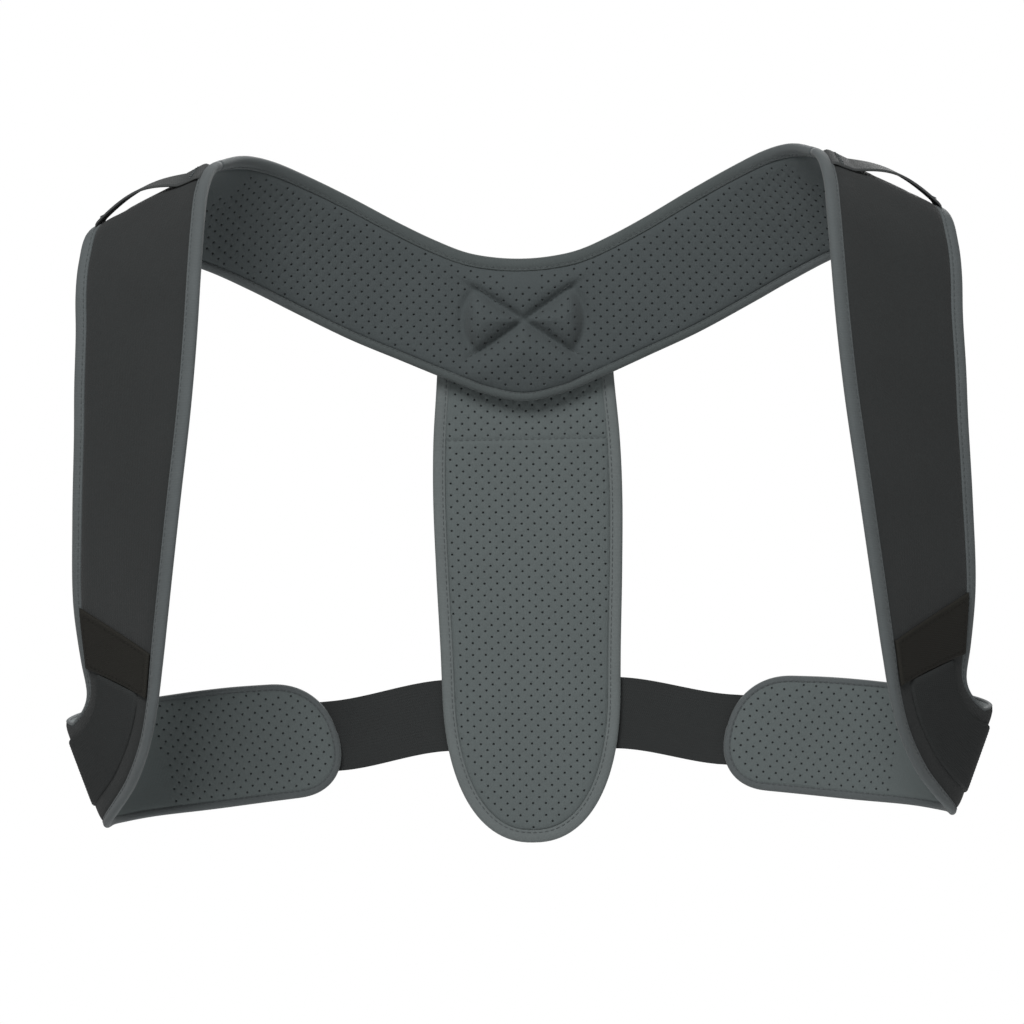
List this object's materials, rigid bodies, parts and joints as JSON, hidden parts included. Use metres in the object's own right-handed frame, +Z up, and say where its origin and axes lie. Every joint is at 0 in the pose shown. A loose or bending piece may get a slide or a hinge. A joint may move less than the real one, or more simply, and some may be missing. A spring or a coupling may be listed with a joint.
{
  "type": "posture corrector",
  "caption": "Padded harness worn on the upper body: a yoke across the shoulder blades, straps round the shoulders, a long spine pad and an elastic band that pull the shoulders back.",
  "frame": {"origin": "middle point between the two shoulders, at the height of the straps' seat on them where they cross the shoulder tops", "axes": "+Z up along the wearer's spine, -Y the way the wearer faces, +X to the wearer's left, which is the right in a view from the front"},
  "size_m": [0.484, 0.1798, 0.3701],
  "materials": {
    "lining": "perforated foam-backed knit, matt",
    "loop_fabric": "brushed loop fabric, matt",
    "binding": "woven edge binding",
    "elastic": "ribbed woven elastic",
    "keeper_elastic": "narrow woven elastic",
    "hook_tape": "hook tape"
  },
  "bodies": {
    "root": {"yoke_lining": "lining", "yoke_face": "loop_fabric", "yoke_neck_binding": "binding", "yoke_lower_binding": "binding", "shoulder_strap_lining_left": "lining", "shoulder_strap_lining_right": "lining", "shoulder_strap_face_left": "loop_fabric", "shoulder_strap_face_right": "loop_fabric", "tongue_lining_left": "lining", "tongue_lining_right": "lining", "tongue_face_left": "loop_fabric", "tongue_face_right": "loop_fabric", "hook_tab_left": "hook_tape", "hook_tab_right": "hook_tape", "shoulder_keeper_left": "keeper_elastic", "shoulder_keeper_right": "keeper_elastic", "strap_binding_left": "binding", "strap_binding_right": "binding", "spine_pad_lining": "lining", "spine_pad_face": "loop_fabric", "spine_pad_binding": "binding", "waist_band": "elastic"}
  },
  "joints": []
}
